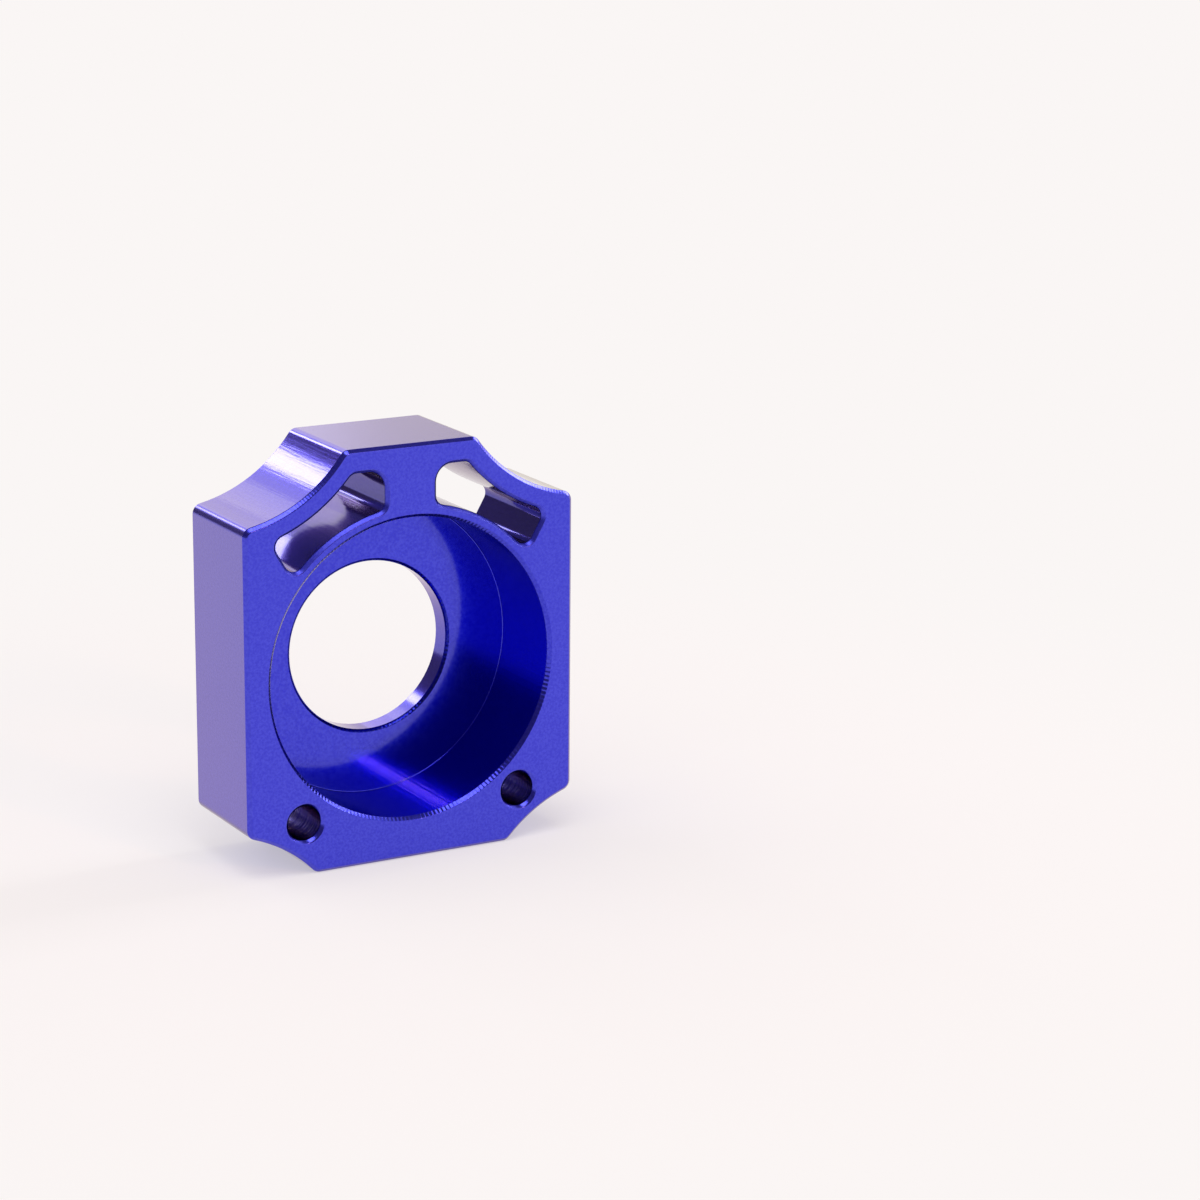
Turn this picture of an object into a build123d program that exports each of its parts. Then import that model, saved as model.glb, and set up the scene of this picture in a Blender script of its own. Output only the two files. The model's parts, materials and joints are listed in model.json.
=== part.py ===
from build123d import *
from math import radians, sqrt, tan
import os

# Axle block of a motorcycle's chain adjuster, milled from one aluminium billet and anodised.
# Millimetres. The origin is on the axle's axis, halfway through the floor that carries the axle.
# The recess opens towards -Y, +X is to the right when that face is looked at, and +Z is up.

# Outline of the block, as seen along the axle
width = 51.5
top_height = 32.5
bottom_height = 28.0
depth = 18.0
corner_rounding = 1.5

# Hollow sweeps that take off the four corners of the outline
top_scallop_width = 15.45
top_scallop_height = 9.6
top_scallop_radius = 22.5
bottom_scallop_width = 10.45
bottom_scallop_height = 6.6
bottom_scallop_radius = 22.5

# Stepped hole on the axle's axis: a deep recess, and a bore through its floor
axle_diameter = 25.0
axle_clearance = 0.1
recess_diameter = 43.8
floor_thickness = 4.0

# Curved slots that lighten the block between the recess and the top sweeps
slot_web = 8.0
slot_top_wall = 3.5
slot_scallop_wall = 3.1
slot_recess_wall = 1.8
slot_side_wall = 4.25
slot_end_angle = 60.0
slot_crown_radius = 2.5
slot_corner_radius = 1.5

# Drilled holes in the two bottom corners, halfway between the recess and the bottom sweeps. Each
# one lies off the line that joins the centres of those two arcs, towards the block's side.
pin_hole_diameter = 5.0
pin_hole_offset = 1.42

# Broken edges: on both faces with every hole in them, and at the bore's mouth in the floor
edge_chamfer = 0.5
floor_chamfer = 0.4

front = floor_thickness / 2 - depth
back = floor_thickness / 2
half_width = width / 2


def prism(sketch, start, end):
    """A sketch drawn as the front face is seen, made solid from one depth to another."""
    return extrude(Plane.XZ.offset(-start) * sketch, start - end)


def both_sides(sketch):
    """A sketch and its mirror image across the block's middle plane."""
    return sketch + mirror(sketch, Plane.YZ)


def sweep_centre(start, end, radius):
    """The centre of the arc that hollows a corner out, between its ends taken clockwise."""
    chord = Vector(*end) - Vector(*start)
    rise = sqrt(radius**2 - (chord.length / 2) ** 2)
    return (Vector(*start) + Vector(*end)) / 2 + Vector(-chord.Y, chord.X).normalized() * rise


# Outline: a rectangle with a hollow sweep at each corner
top_sweep = sweep_centre(
    (half_width - top_scallop_width, top_height),
    (half_width, top_height - top_scallop_height),
    top_scallop_radius,
)
bottom_sweep = sweep_centre(
    (half_width, bottom_scallop_height - bottom_height),
    (half_width - bottom_scallop_width, -bottom_height),
    bottom_scallop_radius,
)
outline = Pos(0, -bottom_height) * Rectangle(
    width, top_height + bottom_height, align=(Align.CENTER, Align.MIN)
)
outline -= both_sides(Pos(top_sweep.X, top_sweep.Y) * Circle(top_scallop_radius))
outline -= both_sides(Pos(bottom_sweep.X, bottom_sweep.Y) * Circle(bottom_scallop_radius))
outline = fillet(outline.vertices(), corner_rounding)

# Slot: bounded by the web, the wall under the top flat, a leaning end, and walls that follow the
# top sweep and the recess. The leaning end leaves its side wall where it meets the sweep's wall.
slot_top = top_height - slot_top_wall
outer_radius = top_scallop_radius + slot_scallop_wall
inner_radius = recess_diameter / 2 + slot_recess_wall
tip_x = half_width - slot_side_wall
tip_z = top_sweep.Y - sqrt(outer_radius**2 - (top_sweep.X - tip_x) ** 2)
lean = tan(radians(slot_end_angle))
slot = make_face(
    Polyline(
        (slot_web / 2, 0),
        (slot_web / 2, slot_top),
        (tip_x + (slot_top - tip_z) / lean, slot_top),
        (tip_x - tip_z / lean, 0),
        close=True,
    )
)
slot -= Pos(top_sweep.X, top_sweep.Y) * Circle(outer_radius)
slot -= Circle(inner_radius)

# The corner in the crown, beside the web, is rounder than the others. Where the two flats of the
# slot that meet there are short, no corner takes more than its share of the shorter one.
web_flat = slot_top - sqrt(inner_radius**2 - (slot_web / 2) ** 2)
top_flat = top_sweep.X - sqrt(outer_radius**2 - (top_sweep.Y - slot_top) ** 2) - slot_web / 2
crown_radius = min(slot_crown_radius, 0.5 * min(web_flat, top_flat))
corner_radius = min(slot_corner_radius, 0.3 * min(web_flat, top_flat))
crown = slot.vertices().sort_by_distance((slot_web / 2, slot_top))[0]
slot = fillet(crown, crown_radius)
crown_ends = slot.vertices().sort_by_distance(crown)[:2]
slot = fillet([corner for corner in slot.vertices() if corner not in crown_ends], corner_radius)

# Pin hole: the wall to the recess is as thick as the wall to the bottom sweep
corner = bottom_sweep.normalized()
pin_distance = (recess_diameter / 2 + bottom_sweep.length - bottom_scallop_radius) / 2
pin_centre = corner * pin_distance + Vector(-corner.Y, corner.X) * pin_hole_offset
pin_hole = Pos(pin_centre.X, pin_centre.Y) * Circle(pin_hole_diameter / 2)

# Milling: the outline first, then the recess, the bore, the slots and the holes
block = prism(outline, front, back)
block -= prism(Circle(recess_diameter / 2), front, -floor_thickness / 2)
block -= prism(Circle((axle_diameter + axle_clearance) / 2), front, back)
block -= prism(both_sides(slot), front, back)
block -= prism(both_sides(pin_hole), front, back)

front_face, floor, back_face = block.faces().filter_by(Axis.Y).sort_by(Axis.Y)
bore_mouth = floor.inner_wires()[0].edges()
block = chamfer(bore_mouth, floor_chamfer)
front_face, floor, back_face = block.faces().filter_by(Axis.Y).sort_by(Axis.Y)
block = chamfer(front_face.edges() + back_face.edges(), edge_chamfer)

os.makedirs("parts", exist_ok=True)
export_step(block, "parts/axle_block.step")
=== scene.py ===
import json
from math import cos, hypot, pi, radians, sin

import bmesh
import bpy
from mathutils import Euler, Matrix, Vector


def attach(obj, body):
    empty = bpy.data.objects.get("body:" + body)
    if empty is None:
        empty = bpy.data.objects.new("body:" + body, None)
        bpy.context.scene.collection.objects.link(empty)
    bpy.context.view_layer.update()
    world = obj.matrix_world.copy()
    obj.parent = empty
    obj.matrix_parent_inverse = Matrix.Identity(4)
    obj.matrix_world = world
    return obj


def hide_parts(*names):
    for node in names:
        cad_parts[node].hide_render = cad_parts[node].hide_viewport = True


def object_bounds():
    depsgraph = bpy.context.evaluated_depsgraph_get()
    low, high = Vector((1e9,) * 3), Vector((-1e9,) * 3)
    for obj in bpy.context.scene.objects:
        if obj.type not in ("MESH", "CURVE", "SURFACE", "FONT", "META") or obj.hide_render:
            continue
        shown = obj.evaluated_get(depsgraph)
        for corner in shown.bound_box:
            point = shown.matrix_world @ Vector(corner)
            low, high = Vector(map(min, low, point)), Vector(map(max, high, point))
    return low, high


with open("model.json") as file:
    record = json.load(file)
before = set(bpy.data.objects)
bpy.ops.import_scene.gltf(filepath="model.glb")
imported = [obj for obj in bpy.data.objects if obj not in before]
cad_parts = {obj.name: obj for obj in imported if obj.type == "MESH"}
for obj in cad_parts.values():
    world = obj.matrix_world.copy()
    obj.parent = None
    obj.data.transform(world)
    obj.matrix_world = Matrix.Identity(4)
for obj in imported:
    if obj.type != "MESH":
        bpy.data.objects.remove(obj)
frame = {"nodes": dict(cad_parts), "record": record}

cad_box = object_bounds()

# The block: one aluminium billet, milled to its outline, bored and turned inside, slotted and
# drilled, and its edges broken by a chamfer. Tumbling before it was anodised left every corner
# round, so that the broken edges look like bands without sharp borders.
mm = 0.001
corner_softness = 0.1 * mm
turned_softness = 0.05 * mm
tool_nose_radius = 0.12 * mm

# Sizes of the block in millimetres. A sweep's centre is given to the right of the middle, and up.
mounts = {mount["name"]: mount for mount in frame["record"]["mounts"]}
bore_radius = mounts["axle_bore"]["dims"]["r_mm"]
recess_radius = mounts["head_recess"]["dims"]["r_mm"]
hole_x = mounts["pin_holes"]["dims"]["spacing_x_mm"] / 2
hole_z = mounts["pin_holes"]["pos_m"][2] / mm
hole_radius = mounts["pin_holes"]["dims"]["hole_r_mm"]
recess_floor = mounts["head_seat"]["pos_m"][1] / mm
half_width = cad_box[1].x / mm
front = cad_box[0].y / mm
top = cad_box[1].z / mm
bottom = cad_box[0].z / mm
sweep_radius = 22.5
top_sweep = (28.89, 45.18)
bottom_sweep = (32.08, -42.99)
face_chamfer = 0.5
floor_chamfer = 0.4

solid = frame["nodes"]["axle_block"]
block = bpy.data.objects.new("machined_block", solid.data.copy())
bpy.context.scene.collection.objects.link(block)
bpy.ops.object.select_all(action="DESELECT")
block.select_set(True)
bpy.context.view_layer.objects.active = block
bpy.ops.mesh.customdata_custom_splitnormals_clear()

bpy.ops.object.mode_set(mode="EDIT")
bpy.ops.mesh.select_mode(type="EDGE")
bpy.ops.mesh.select_all(action="SELECT")
bpy.ops.mesh.remove_doubles(threshold=0.001 * mm)
bpy.ops.mesh.normals_make_consistent(inside=False)
bpy.ops.mesh.dissolve_limited(angle_limit=radians(0.5))


def select_ring(radius, depth):
    """Selects the round edges at a radius from the axle's axis and at a depth along it."""
    radius_play = 0.05
    depth_play = 0.01
    bpy.ops.mesh.select_all(action="DESELECT")
    mesh = bmesh.from_edit_mesh(block.data)
    for edge in mesh.edges:
        off_radius = max(abs(hypot(end.co.x, end.co.z) / mm - radius) for end in edge.verts)
        off_depth = max(abs(end.co.y / mm - depth) for end in edge.verts)
        edge.select_set(off_radius < radius_play and off_depth < depth_play)
    bmesh.update_edit_mesh(block.data)


# The inside corner of the recess has the round of the turning tool's nose. The recess's rim and the
# bore's mouth were turned last, so their edges are nearly sharp.
select_ring(recess_radius, recess_floor)
bpy.ops.mesh.bevel(offset=tool_nose_radius, segments=4, profile=0.5)
turned_edges = [(bore_radius + floor_chamfer, recess_floor), (bore_radius, recess_floor + floor_chamfer)]
turned_edges += [(recess_radius + face_chamfer, front), (recess_radius, front + face_chamfer)]
for radius, depth in turned_edges:
    select_ring(radius, depth)
    bpy.ops.mesh.bevel(offset=turned_softness, segments=2, profile=0.5)

# All the other edges are softened by the tumbling
bpy.ops.mesh.select_all(action="DESELECT")
bpy.ops.mesh.edges_select_sharp(sharpness=radians(30))
bpy.ops.mesh.bevel(offset=corner_softness, segments=3, profile=0.5)
bpy.ops.object.mode_set(mode="OBJECT")

bpy.ops.object.shade_smooth_by_angle(angle=radians(35))
shading = block.modifiers.new("flat faces stay flat", "WEIGHTED_NORMAL")
shading.keep_sharp = True
bpy.ops.object.modifier_apply(modifier=shading.name)

# The anodising: a clear hard film, dyed blue, over bright aluminium. The metal shines through it, and at
# a low angle the film itself shines, slightly purple. Every finish below is this film over a face that
# was cut in another way. In the slots, the holes and the bore the blue is also turned down as painted
# shade, and on the sides the film's reflection is raised as a painted sheen.


def anodised(
    name, roughness, film_roughness, film=1.0, film_ior=1.65, edge=(0.7, 0.5, 0.28), dye_and_shade=1.0
):
    """The blue film over a face of the given roughness. Edge is the metal's tint at a low angle.
    Dye_and_shade scales the blue: the dye's strength, and where it is turned well down, painted shade.
    """
    material = bpy.data.materials.new(name)
    material.use_nodes = True
    nodes, links = material.node_tree.nodes, material.node_tree.links
    shader = nodes["Principled BSDF"]
    shader.inputs["Metallic"].default_value = 1
    shader.inputs["Roughness"].default_value = roughness
    shader.inputs["Specular Tint"].default_value = (*edge, 1)
    shader.inputs["Coat Weight"].default_value = film
    shader.inputs["Coat IOR"].default_value = film_ior
    shader.inputs["Coat Roughness"].default_value = film_roughness

    # The dye has a fine grain: it is stronger in some spots than in others
    place = nodes.new("ShaderNodeTexCoord")
    grain = nodes.new("ShaderNodeTexNoise")
    grain.inputs["Scale"].default_value = 2800
    grain.inputs["Detail"].default_value = 8
    grain.inputs["Roughness"].default_value = 0.3
    blue = nodes.new("ShaderNodeValToRGB")
    deep, thin = blue.color_ramp.elements
    deep.position = 0.35
    deep.color = (0.000, 0.002, 0.60 * dye_and_shade, 1)
    thin.position = 0.65
    thin.color = (0.020, 0.026, 0.66 * dye_and_shade, 1)
    links.new(place.outputs["Object"], grain.inputs["Vector"])
    links.new(grain.outputs["Fac"], blue.inputs["Fac"])
    links.new(blue.outputs["Color"], shader.inputs["Base Color"])
    return material


def emboss(material, height, depth):
    """Marks in the metal and in the film over it, as deep as given, in a pattern of heights."""
    nodes, links = material.node_tree.nodes, material.node_tree.links
    shader = nodes["Principled BSDF"]
    relief = nodes.new("ShaderNodeBump")
    relief.inputs["Distance"].default_value = depth
    links.new(height, relief.inputs["Height"])
    links.new(relief.outputs["Normal"], shader.inputs["Normal"])
    links.new(relief.outputs["Normal"], shader.inputs["Coat Normal"])


def cut_marks(material, marks_per_metre, depth):
    """Fine marks in a face. The marks per metre are given along X, Y and Z."""
    nodes, links = material.node_tree.nodes, material.node_tree.links
    place = nodes.new("ShaderNodeTexCoord")
    stretched = nodes.new("ShaderNodeVectorMath")
    stretched.operation = "MULTIPLY"
    stretched.inputs[1].default_value = marks_per_metre
    marks = nodes.new("ShaderNodeTexNoise")
    marks.inputs["Scale"].default_value = 1
    marks.inputs["Detail"].default_value = 2
    links.new(place.outputs["Object"], stretched.inputs[0])
    links.new(stretched.outputs["Vector"], marks.inputs["Vector"])
    emboss(material, marks.outputs["Fac"], depth)


def chatter(material, centre, marks_round, depth):
    """Marks that a chattering tool leaves side by side on its way round a centre, left and right."""
    nodes, links = material.node_tree.nodes, material.node_tree.links
    place = nodes.new("ShaderNodeTexCoord")
    mirrored = nodes.new("ShaderNodeVectorMath")
    mirrored.operation = "ABSOLUTE"
    out = nodes.new("ShaderNodeSeparateXYZ")
    up = nodes.new("ShaderNodeSeparateXYZ")
    either_side = nodes.new("ShaderNodeCombineXYZ")
    from_centre = nodes.new("ShaderNodeVectorMath")
    from_centre.operation = "SUBTRACT"
    from_centre.inputs[1].default_value = (centre[0] * mm, 0, centre[1] * mm)
    split = nodes.new("ShaderNodeSeparateXYZ")
    angle = nodes.new("ShaderNodeMath")
    angle.operation = "ARCTAN2"
    turns = nodes.new("ShaderNodeMath")
    turns.operation = "MULTIPLY"
    turns.inputs[1].default_value = marks_round
    wave = nodes.new("ShaderNodeMath")
    wave.operation = "SINE"
    pressure = nodes.new("ShaderNodeTexNoise")
    pressure.inputs["Scale"].default_value = 300
    uneven = nodes.new("ShaderNodeMath")
    uneven.operation = "MULTIPLY"
    links.new(place.outputs["Object"], up.inputs["Vector"])
    links.new(place.outputs["Object"], mirrored.inputs[0])
    links.new(mirrored.outputs["Vector"], out.inputs["Vector"])
    links.new(out.outputs["X"], either_side.inputs["X"])
    links.new(up.outputs["Z"], either_side.inputs["Z"])
    links.new(either_side.outputs["Vector"], from_centre.inputs[0])
    links.new(from_centre.outputs["Vector"], split.inputs["Vector"])
    links.new(split.outputs["Z"], angle.inputs[0])
    links.new(split.outputs["X"], angle.inputs[1])
    links.new(angle.outputs["Value"], turns.inputs[0])
    links.new(turns.outputs["Value"], wave.inputs[0])
    links.new(place.outputs["Object"], pressure.inputs["Vector"])
    links.new(wave.outputs["Value"], uneven.inputs[0])
    links.new(pressure.outputs["Fac"], uneven.inputs[1])
    emboss(material, uneven.outputs["Value"], depth)


def spread_across(material, amount, marks_go_round):
    """Spreads the light across the marks, which go round the axle's axis or along it."""
    nodes, links = material.node_tree.nodes, material.node_tree.links
    shader = nodes["Principled BSDF"]
    place = nodes.new("ShaderNodeTexCoord")
    across = nodes.new("ShaderNodeVectorMath")
    across.operation = "CROSS_PRODUCT"
    links.new(place.outputs["Normal"], across.inputs[0])
    if marks_go_round:
        along = nodes.new("ShaderNodeVectorMath")
        along.operation = "CROSS_PRODUCT"
        along.inputs[0].default_value = (0, 1, 0)
        links.new(place.outputs["Object"], along.inputs[1])
        links.new(along.outputs["Vector"], across.inputs[1])
    else:
        across.inputs[1].default_value = (0, 1, 0)
    unit = nodes.new("ShaderNodeVectorMath")
    unit.operation = "NORMALIZE"
    links.new(across.outputs["Vector"], unit.inputs[0])
    links.new(unit.outputs["Vector"], shader.inputs["Tangent"])
    shader.inputs["Anisotropic"].default_value = amount


# Flat faces, blasted satin before they were anodised
satin = anodised("satin_flats", 0.25, 0.2, dye_and_shade=1.06)
cut_marks(satin, (3500, 3500, 3500), 0.012 * mm)

# The sides get their own copy of the satin, with a stronger, warmer film reflection: a painted sheen for
# the light they catch.
satin_side_painted_sheen = anodised("satin_sides_painted_sheen", 0.25, 0.2, film_ior=1.8, edge=(1.0, 0.7, 0.35))
cut_marks(satin_side_painted_sheen, (3500, 3500, 3500), 0.01 * mm)

# Milled faces, with the cutter's fine marks along the axle
milled = anodised("milled_sweeps", 0.17, 0.1, edge=(0.65, 0.45, 0.17), dye_and_shade=0.97)
cut_marks(milled, (3000, 120, 3000), 0.012 * mm)

# The slots' blue is halved: painted shade inside the slots.
slotted = anodised("milled_slots_painted_shade", 0.2, 0.12, film=0.8, edge=(0.64, 0.46, 0.5), dye_and_shade=0.5)
cut_marks(slotted, (1600, 20, 1600), 0.015 * mm)

# Faces turned or bored round the axle's axis, and the drilled holes
turned_wall = anodised("recess_wall", 0.2, 0.1, film=0.2, edge=(0.05, 0.09, 0.45))
cut_marks(turned_wall, (2600, 15, 2600), 0.02 * mm)
spread_across(turned_wall, 0.5, marks_go_round=False)

turned_floor = anodised("recess_floor", 0.19, 0.085, film_ior=1.6, dye_and_shade=1.03)
spread_across(turned_floor, 0.6, marks_go_round=True)

# The bore's blue is turned down a little: painted shade on its wall.
bored = anodised("bored_wall_painted_shade", 0.2, 0.12, edge=(0.85, 0.6, 0.62), dye_and_shade=0.85)

# The holes' blue is cut to under half: painted shade inside the holes.
drilled = anodised("drilled_holes_painted_shade", 0.2, 0.12, film=0.7, edge=(0.6, 0.25, 0.3), dye_and_shade=0.45)
cut_marks(drilled, (100, 3400, 100), 0.06 * mm)

# Broken edges. The tool chattered on the bore's mouth, the recess's rim and the top sweeps.
chamfered = anodised("broken_edges", 0.22, 0.2)
cut_marks(chamfered, (2500, 2500, 2500), 0.003 * mm)

slot_edge = anodised("slot_edges", 0.4, 0.35)
cut_marks(slot_edge, (2500, 2500, 2500), 0.003 * mm)

mouth = anodised("bore_mouth", 0.2, 0.15, film=0.1, edge=(0.2, 0.2, 0.5), dye_and_shade=0.5)
chatter(mouth, (0, 0), 120, 0.015 * mm)

rimmed = anodised("recess_rim", 0.2, 0.18, film=0.75, edge=(1.0, 0.9, 0.7), dye_and_shade=0.95)
chatter(rimmed, (0, 0), 224, 0.016 * mm)

swept_edge = anodised("sweep_edges", 0.22, 0.2)
chatter(swept_edge, top_sweep, 300, 0.005 * mm)

finishes = [satin, satin_side_painted_sheen, milled, turned_wall, turned_floor, bored, mouth]
finishes += [slotted, drilled, chamfered, rimmed, slot_edge, swept_edge]
block.data.materials.clear()
for finish in finishes:
    block.data.materials.append(finish)

# How near a face's centre is to the surface it belongs to, for a flat one and for a round one,
# and how far a broken edge and the round in the recess's corner reach at most
flat_play = 0.01
round_play = 0.1
edge_width = 0.7
edge_depth = 1
corner_width = 0.5

# The bounds of a slot with its broken edges: sideways from the block's middle, and upwards
slot_reach = (2.5, half_width - 3)
slot_rise = (14, top - 2.5)


def finish_of(face):
    """The finish of a face, by its place and by the way it faces."""
    x, y, z = [abs(face.center.x) / mm, face.center.y / mm, face.center.z / mm]
    from_axis = hypot(x, z)
    from_top_sweep = hypot(x - top_sweep[0], z - top_sweep[1])
    from_bottom_sweep = hypot(x - bottom_sweep[0], z - bottom_sweep[1])
    from_hole = hypot(x - hole_x, z - hole_z)
    in_slot = slot_reach[0] < x < slot_reach[1] and slot_rise[0] < z < slot_rise[1]

    # Faces square to the axle, then the broken edges that lean
    along_axle = abs(face.normal.y)
    if along_axle > 0.999:
        return turned_floor if abs(y - recess_floor) < round_play else satin
    if along_axle > 0.02:
        if from_axis < recess_radius and abs(y - recess_floor) < edge_depth:
            return turned_floor if from_axis > recess_radius - corner_width else mouth
        if from_axis < recess_radius + edge_width and y < front + edge_depth:
            return rimmed
        if from_top_sweep < sweep_radius + face_chamfer + round_play:
            return swept_edge
        return slot_edge if in_slot else chamfered

    # Faces that run along the axle
    if half_width - x < flat_play:
        return satin_side_painted_sheen
    if top - z < flat_play or z - bottom < flat_play:
        return satin
    if abs(from_axis - bore_radius) < round_play:
        return bored
    if abs(from_axis - recess_radius) < round_play:
        return turned_wall
    if abs(from_hole - hole_radius) < round_play:
        return drilled
    if min(abs(from_top_sweep - sweep_radius), abs(from_bottom_sweep - sweep_radius)) < round_play:
        return milled
    return slotted if in_slot else chamfered


for face in block.data.polygons:
    face.material_index = finishes.index(finish_of(face))

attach(block, "root")
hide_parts("axle_block")

# The floor: a sheet of pale paper that the block stands on. It takes the block's shadow, and fades
# into the backdrop's colour a little way off, so that no horizon shows.
paper_radius = 2.5
paper_colour = (0.92, 0.89, 0.885, 1)
backdrop_colour = (0.956, 0.922, 0.913, 1)
fade_from = 0.05
fade_to = 0.2
backdrop_share = 0.45

floor_height = cad_box[0].z
bpy.ops.mesh.primitive_circle_add(
    vertices=96, radius=paper_radius, fill_type="NGON", location=(0, 0, floor_height)
)
paper = bpy.context.object
paper.name = "paper_floor"
bpy.ops.object.transform_apply(location=True, rotation=False, scale=False)
paper_white = bpy.data.materials.new("paper")
paper_white.use_nodes = True
nodes, links = paper_white.node_tree.nodes, paper_white.node_tree.links
nodes.remove(nodes["Principled BSDF"])
lit = nodes.new("ShaderNodeBsdfDiffuse")
lit.inputs["Color"].default_value = paper_colour
plain = nodes.new("ShaderNodeEmission")
plain.inputs["Color"].default_value = backdrop_colour
plain.inputs["Strength"].default_value = 1
place = nodes.new("ShaderNodeTexCoord")
away = nodes.new("ShaderNodeVectorMath")
away.operation = "LENGTH"
fade = nodes.new("ShaderNodeMapRange")
fade.interpolation_type = "SMOOTHSTEP"
fade.inputs["From Min"].default_value = fade_from
fade.inputs["From Max"].default_value = fade_to
fade.inputs["To Min"].default_value = backdrop_share
fade.inputs["To Max"].default_value = 1

# The camera and the metal see the fade, and light that has been scattered sees the lit paper only
ray = nodes.new("ShaderNodeLightPath")
seen = nodes.new("ShaderNodeMath")
seen.operation = "SUBTRACT"
seen.use_clamp = True
seen.inputs[0].default_value = 1
share = nodes.new("ShaderNodeMath")
share.operation = "MULTIPLY"
sheet = nodes.new("ShaderNodeMixShader")
links.new(place.outputs["Object"], away.inputs[0])
links.new(away.outputs["Value"], fade.inputs["Value"])
links.new(ray.outputs["Is Diffuse Ray"], seen.inputs[1])
links.new(fade.outputs["Result"], share.inputs[0])
links.new(seen.outputs["Value"], share.inputs[1])
links.new(share.outputs["Value"], sheet.inputs["Fac"])
links.new(lit.outputs["BSDF"], sheet.inputs[1])
links.new(plain.outputs["Emission"], sheet.inputs[2])
links.new(sheet.outputs["Shader"], nodes["Material Output"].inputs["Surface"])
paper.data.materials.append(paper_white)

# The room: a white tent, open at the left and overhead. The camera sees it plain, and soft light
# falls on the floor, most of it through the open side. The metal mirrors the tent's wall behind
# and at the right, and the dark room through the openings.
light_of_open_side = (1.08, 1.04, 1.04, 1)
light_of_wall = (0.30, 0.28, 0.29, 1)
dark_room = (0.17, 0.13, 0.17, 1)
white_wall = (1, 0.97, 0.96, 1)
wall_azimuth = radians(73)
wall_softness = 0.05
wall_top = (0.85, 0.7)

world = bpy.data.worlds.new("studio")
bpy.context.scene.world = world
world.use_nodes = True
nodes, links = world.node_tree.nodes, world.node_tree.links
backdrop = nodes["Background"]
backdrop.inputs["Color"].default_value = backdrop_colour
tent_light = nodes.new("ShaderNodeBackground")
softened = nodes.new("ShaderNodeMix")
softened.data_type = "RGBA"
softened.inputs["A"].default_value = light_of_open_side
softened.inputs["B"].default_value = light_of_wall
mirrored = nodes.new("ShaderNodeBackground")

# What the metal mirrors: the wall on the side it stands on, up to its top, and else the dark room
direction = nodes.new("ShaderNodeTexCoord")
to_wall = nodes.new("ShaderNodeVectorMath")
to_wall.operation = "DOT_PRODUCT"
to_wall.inputs[1].default_value = (sin(wall_azimuth), cos(wall_azimuth), 0)
side = nodes.new("ShaderNodeMapRange")
side.interpolation_type = "SMOOTHSTEP"
side.inputs["From Min"].default_value = -wall_softness
side.inputs["From Max"].default_value = wall_softness
split = nodes.new("ShaderNodeSeparateXYZ")
height = nodes.new("ShaderNodeMapRange")
height.interpolation_type = "SMOOTHSTEP"
height.inputs["From Min"].default_value = wall_top[0]
height.inputs["From Max"].default_value = wall_top[1]
wall = nodes.new("ShaderNodeMath")
wall.operation = "MULTIPLY"
shade = nodes.new("ShaderNodeMix")
shade.data_type = "RGBA"
shade.inputs["A"].default_value = dark_room
shade.inputs["B"].default_value = white_wall
links.new(direction.outputs["Generated"], to_wall.inputs[0])
links.new(to_wall.outputs["Value"], side.inputs["Value"])
links.new(direction.outputs["Generated"], split.inputs["Vector"])
links.new(split.outputs["Z"], height.inputs["Value"])
links.new(side.outputs["Result"], softened.inputs["Factor"])
links.new(softened.outputs["Result"], tent_light.inputs["Color"])
links.new(side.outputs["Result"], wall.inputs[0])
links.new(height.outputs["Result"], wall.inputs[1])
links.new(wall.outputs["Value"], shade.inputs["Factor"])
links.new(shade.outputs["Result"], mirrored.inputs["Color"])

# The metal sees the mirrored room, the camera the plain backdrop, and the rest the tent's light
ray = nodes.new("ShaderNodeLightPath")
in_metal = nodes.new("ShaderNodeMixShader")
in_view = nodes.new("ShaderNodeMixShader")
links.new(ray.outputs["Is Glossy Ray"], in_metal.inputs["Fac"])
links.new(tent_light.outputs["Background"], in_metal.inputs[1])
links.new(mirrored.outputs["Background"], in_metal.inputs[2])
links.new(ray.outputs["Is Camera Ray"], in_view.inputs["Fac"])
links.new(in_metal.outputs["Shader"], in_view.inputs[1])
links.new(backdrop.outputs["Background"], in_view.inputs[2])
links.new(in_view.outputs["Shader"], nodes["World Output"].inputs["Surface"])

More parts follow.
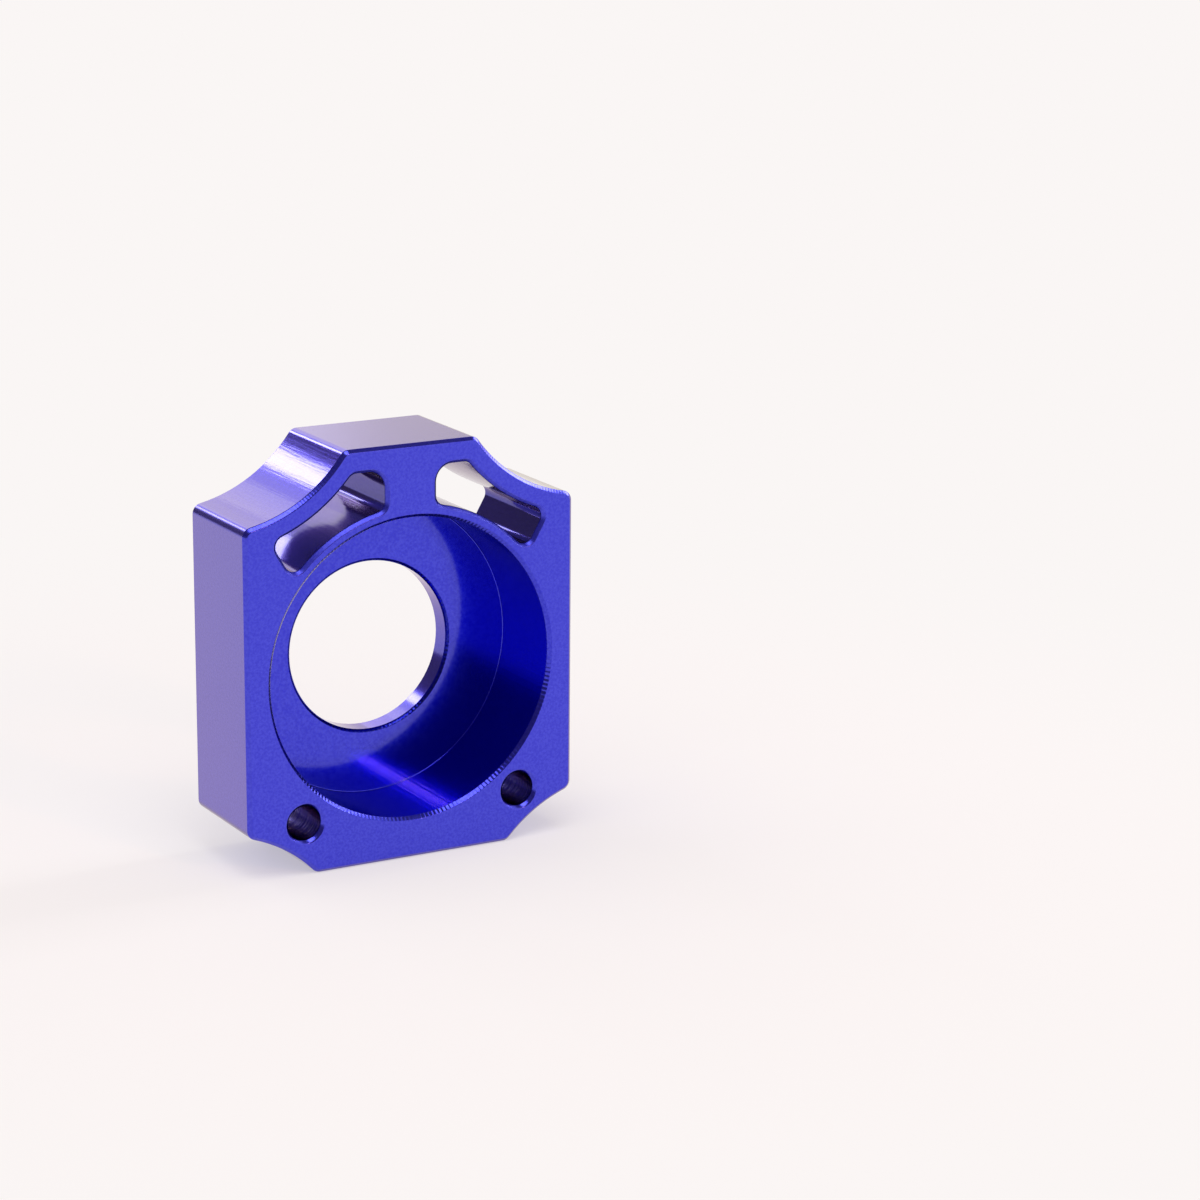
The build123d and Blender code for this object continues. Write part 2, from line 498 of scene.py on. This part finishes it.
# The lamps: behind the block a small bright one, and a wide dim bluish panel with two yellowish
# strips in it. One stands at the right, a narrow reddish one in front, and a large one overhead.
# They give the soft shadows and the bright lines in the cut faces.
lamp_distance = 0.9


def softbox(name, azimuth, elevation, width, height, radiance, colour=(1, 1, 1)):
    """A lamp turned to the block. Azimuth 0 is behind it, over +Y, and 90 over +X."""
    lamp = bpy.data.lights.new(name, "AREA")
    lamp.shape = "RECTANGLE"
    lamp.size = width
    lamp.size_y = height
    lamp.energy = radiance * width * height * pi
    lamp.color = colour
    holder = bpy.data.objects.new(name, lamp)
    turn, tilt = radians(azimuth), radians(elevation)
    away = Vector((sin(turn) * cos(tilt), cos(turn) * cos(tilt), sin(tilt)))
    holder.location = away * lamp_distance
    holder.rotation_euler = away.to_track_quat("Z", "Y").to_euler()
    holder.visible_camera = False
    bpy.context.scene.collection.objects.link(holder)


softbox("back_lamp", -12.8, 26, 0.1, 0.14, 5.8)
softbox("back_panel", 6.5, 22, 0.61, 0.45, 0.6, (0.64, 0.64, 1))
softbox("near_strip", 4.6, 26, 0.16, 0.4, 0.66, (0.96, 0.96, 0.2))
softbox("far_strip", 14.6, 26, 0.14, 0.4, 0.2, (0.96, 1, 0.15))
softbox("right_lamp", 88, 30, 0.2, 0.44, 6.4)
softbox("front_lamp", 164, 26.5, 0.06, 0.1, 42, (1, 0.47, 0.24))
softbox("top_lamp", -170, 67, 0.45, 0.45, 3)

# The camera stands in front of the block, to its left and above it, and looks slightly down.
lens = 107.37
sensor_width = 36
camera_place = Vector((-219.85, -451.56, 136.71)) * mm
look_down = radians(14.55)
look_right = radians(29.875)
lean = radians(0.469)

view = bpy.data.cameras.new("camera")
view.lens = lens
view.sensor_width = sensor_width
view.clip_start = 0.01
camera = bpy.data.objects.new("camera", view)
aim = Euler((radians(90) - look_down, 0, -look_right)).to_matrix() @ Matrix.Rotation(lean, 3, "Z")
camera.location = camera_place
camera.rotation_euler = aim.to_euler()
bpy.context.scene.collection.objects.link(camera)
bpy.context.scene.camera = camera
bpy.context.scene.view_settings.view_transform = "Standard"
